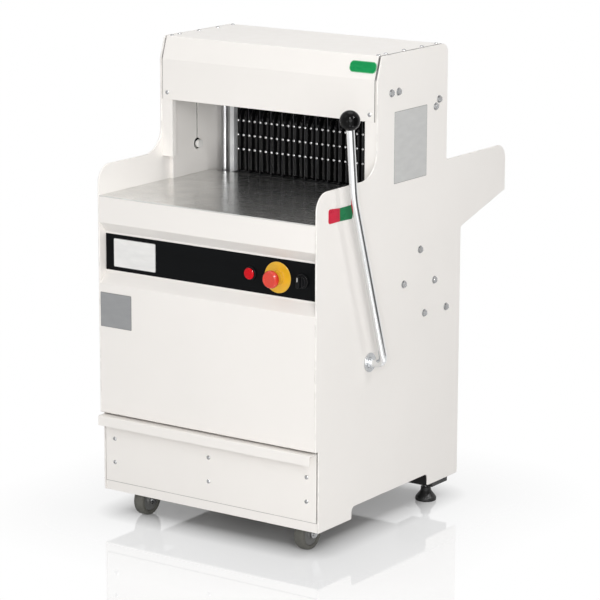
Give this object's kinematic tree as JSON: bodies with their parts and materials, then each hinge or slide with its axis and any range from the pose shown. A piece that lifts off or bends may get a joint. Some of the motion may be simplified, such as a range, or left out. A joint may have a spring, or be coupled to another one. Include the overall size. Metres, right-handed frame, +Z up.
{
  "type": "bread slicer machine",
  "caption": "Floor-standing bread slicer: white folded cabinet, lever-driven finger pusher, reciprocating frames of scalloped blades, crumb drawer, front casters and rear levelling feet.",
  "frame": {"origin": "on the floor, under the middle of the whole outline", "axes": "+X to the lever's side, +Y from the loading table towards the rear tray, +Z up"},
  "size_m": [0.6675, 0.81, 1.0985],
  "materials": {
    "white_paint": "satin powder coat",
    "white_plastic": "moulded",
    "zinc_plate": "bright zinc plating",
    "ground_steel": "ground",
    "casting": "as cast, machined at the bores",
    "frame_metal": "milled",
    "blade_steel": "polished",
    "stainless": "satin, brushed along the width",
    "bridge_plastic": "machined",
    "motor_paint": "enamel",
    "shelf_paint": "primer grey",
    "belt_rubber": "matt",
    "wheel_rubber": "matt",
    "strip_black": "semi-gloss film",
    "black_gloss": "polished",
    "black_matt": "moulded",
    "black_paint": "satin",
    "bare_film": "blank film",
    "green_film": "blank film",
    "red_film": "blank film",
    "red_plastic": "moulded",
    "yellow_plastic": "moulded",
    "chrome_plate": "polished"
  },
  "bodies": {
    "cabinet": {"left_side_panel": "white_paint", "right_side_panel": "white_paint", "top_hood": "white_paint", "head_frame": "white_paint", "wall_liners": "white_paint", "front_panel": "white_paint", "rear_panel": "white_paint", "base_pan": "white_paint", "liner_knobs": "white_plastic", "bar_guides": "white_plastic", "cover_screws": "zinc_plate", "side_bolts": "zinc_plate", "foot_stems": "zinc_plate", "caster_plates": "zinc_plate", "column_brackets": "ground_steel", "guide_columns": "ground_steel", "drive_brackets": "casting", "lever_bushes": "casting", "front_table": "stainless", "rear_tray": "stainless", "blade_bridge": "bridge_plastic", "motor_body": "motor_paint", "motor_shelf": "shelf_paint", "drive_belt": "belt_rubber", "foot_pads": "belt_rubber", "control_strip": "strip_black", "control_bezels": "black_matt", "foot_brackets": "black_paint", "bare_plates": "bare_film", "green_plates": "green_film", "red_zone_plate": "red_film", "lamp_lens": "red_plastic", "stop_collar": "yellow_plastic"},
    "crank": {"crankshaft": "ground_steel", "large_pulley": "casting"},
    "rods_a": {"conrods_a": "casting"},
    "rods_b": {"conrods_b": "casting"},
    "rotor": {"motor_rotor": "ground_steel"},
    "frame_a": {"blade_frame_a": "frame_metal", "blades_a": "blade_steel"},
    "frame_b": {"blade_frame_b": "frame_metal", "blades_b": "blade_steel"},
    "lever": {"lever_rod": "chrome_plate", "lever_knob": "black_gloss", "cross_shaft": "ground_steel", "lever_arms": "ground_steel"},
    "pusher": {"pusher_fingers": "black_gloss", "finger_studs": "chrome_plate", "pusher_frame": "ground_steel", "pusher_bars": "ground_steel"},
    "drawer": {"crumb_tray": "stainless", "drawer_front": "white_paint", "drawer_screws": "zinc_plate"},
    "stop": {"stop_head": "red_plastic"},
    "selector": {"selector_knob": "black_matt"},
    "left_fork": {"left_caster_fork": "zinc_plate"},
    "left_wheel": {"left_caster_wheel": "wheel_rubber"},
    "right_fork": {"right_caster_fork": "zinc_plate"},
    "right_wheel": {"right_caster_wheel": "wheel_rubber"}
  },
  "joints": [
    {"name": "crank_turn", "type": "hinge", "parent": "cabinet", "child": "crank", "pos_m": [-0.02875, 0.056, 0.53], "axis": [1, 0, 0], "continuous": true},
    {"name": "rods_a_pivot", "type": "hinge", "parent": "crank", "child": "rods_a", "pos_m": [-0.02875, 0.056, 0.55], "axis": [1, 0, 0], "continuous": true},
    {"name": "rods_b_pivot", "type": "hinge", "parent": "crank", "child": "rods_b", "pos_m": [-0.02875, 0.056, 0.51], "axis": [1, 0, 0], "continuous": true},
    {"name": "motor_turn", "type": "hinge", "parent": "cabinet", "child": "rotor", "pos_m": [-0.02875, -0.054, 0.341], "axis": [1, 0, 0], "continuous": true},
    {"name": "frame_a_slide", "type": "slide", "parent": "cabinet", "child": "frame_a", "axis": [0, 0, 1], "range_m": [-0.04, 0]},
    {"name": "frame_b_slide", "type": "slide", "parent": "cabinet", "child": "frame_b", "axis": [0, 0, 1], "range_m": [0, 0.04]},
    {"name": "lever_turn", "type": "hinge", "parent": "cabinet", "child": "lever", "pos_m": [-0.02875, -0.177, 0.414], "axis": [1, 0, 0], "range_deg": [-40, 4]},
    {"name": "pusher_slide", "type": "slide", "parent": "cabinet", "child": "pusher", "axis": [0, 1, 0], "range_m": [-0.0225, 0.2195]},
    {"name": "drawer_slide", "type": "slide", "parent": "cabinet", "child": "drawer", "axis": [0, -1, 0], "range_m": [0, 0.4]},
    {"name": "stop_press", "type": "slide", "parent": "cabinet", "child": "stop", "axis": [0, 1, 0], "range_m": [0, 0.006]},
    {"name": "selector_turn", "type": "hinge", "parent": "cabinet", "child": "selector", "pos_m": [0.22025, -0.3727, 0.6275], "axis": [0, 1, 0], "range_deg": [0, 90]},
    {"name": "left_swivel", "type": "hinge", "parent": "cabinet", "child": "left_fork", "pos_m": [-0.25475, -0.287, 0.084], "axis": [0, 0, 1], "continuous": true},
    {"name": "left_roll", "type": "hinge", "parent": "left_fork", "child": "left_wheel", "pos_m": [-0.25475, -0.311, 0.0375], "axis": [1, 0, 0], "continuous": true},
    {"name": "right_swivel", "type": "hinge", "parent": "cabinet", "child": "right_fork", "pos_m": [0.19725, -0.287, 0.084], "axis": [0, 0, 1], "continuous": true},
    {"name": "right_roll", "type": "hinge", "parent": "right_fork", "child": "right_wheel", "pos_m": [0.19725, -0.311, 0.0375], "axis": [1, 0, 0], "continuous": true}
  ],
  "couplings": [
    {"joint": "rods_a_pivot", "follows": "crank_turn", "ratio": -1},
    {"joint": "rods_b_pivot", "follows": "crank_turn", "ratio": -1},
    {"joint": "motor_turn", "follows": "crank_turn", "ratio": 2.7296},
    {"joint": "frame_b_slide", "follows": "frame_a_slide", "ratio": -1},
    {"joint": "pusher_slide", "follows": "lever_turn", "m_per_rad": -0.313}
  ]
}
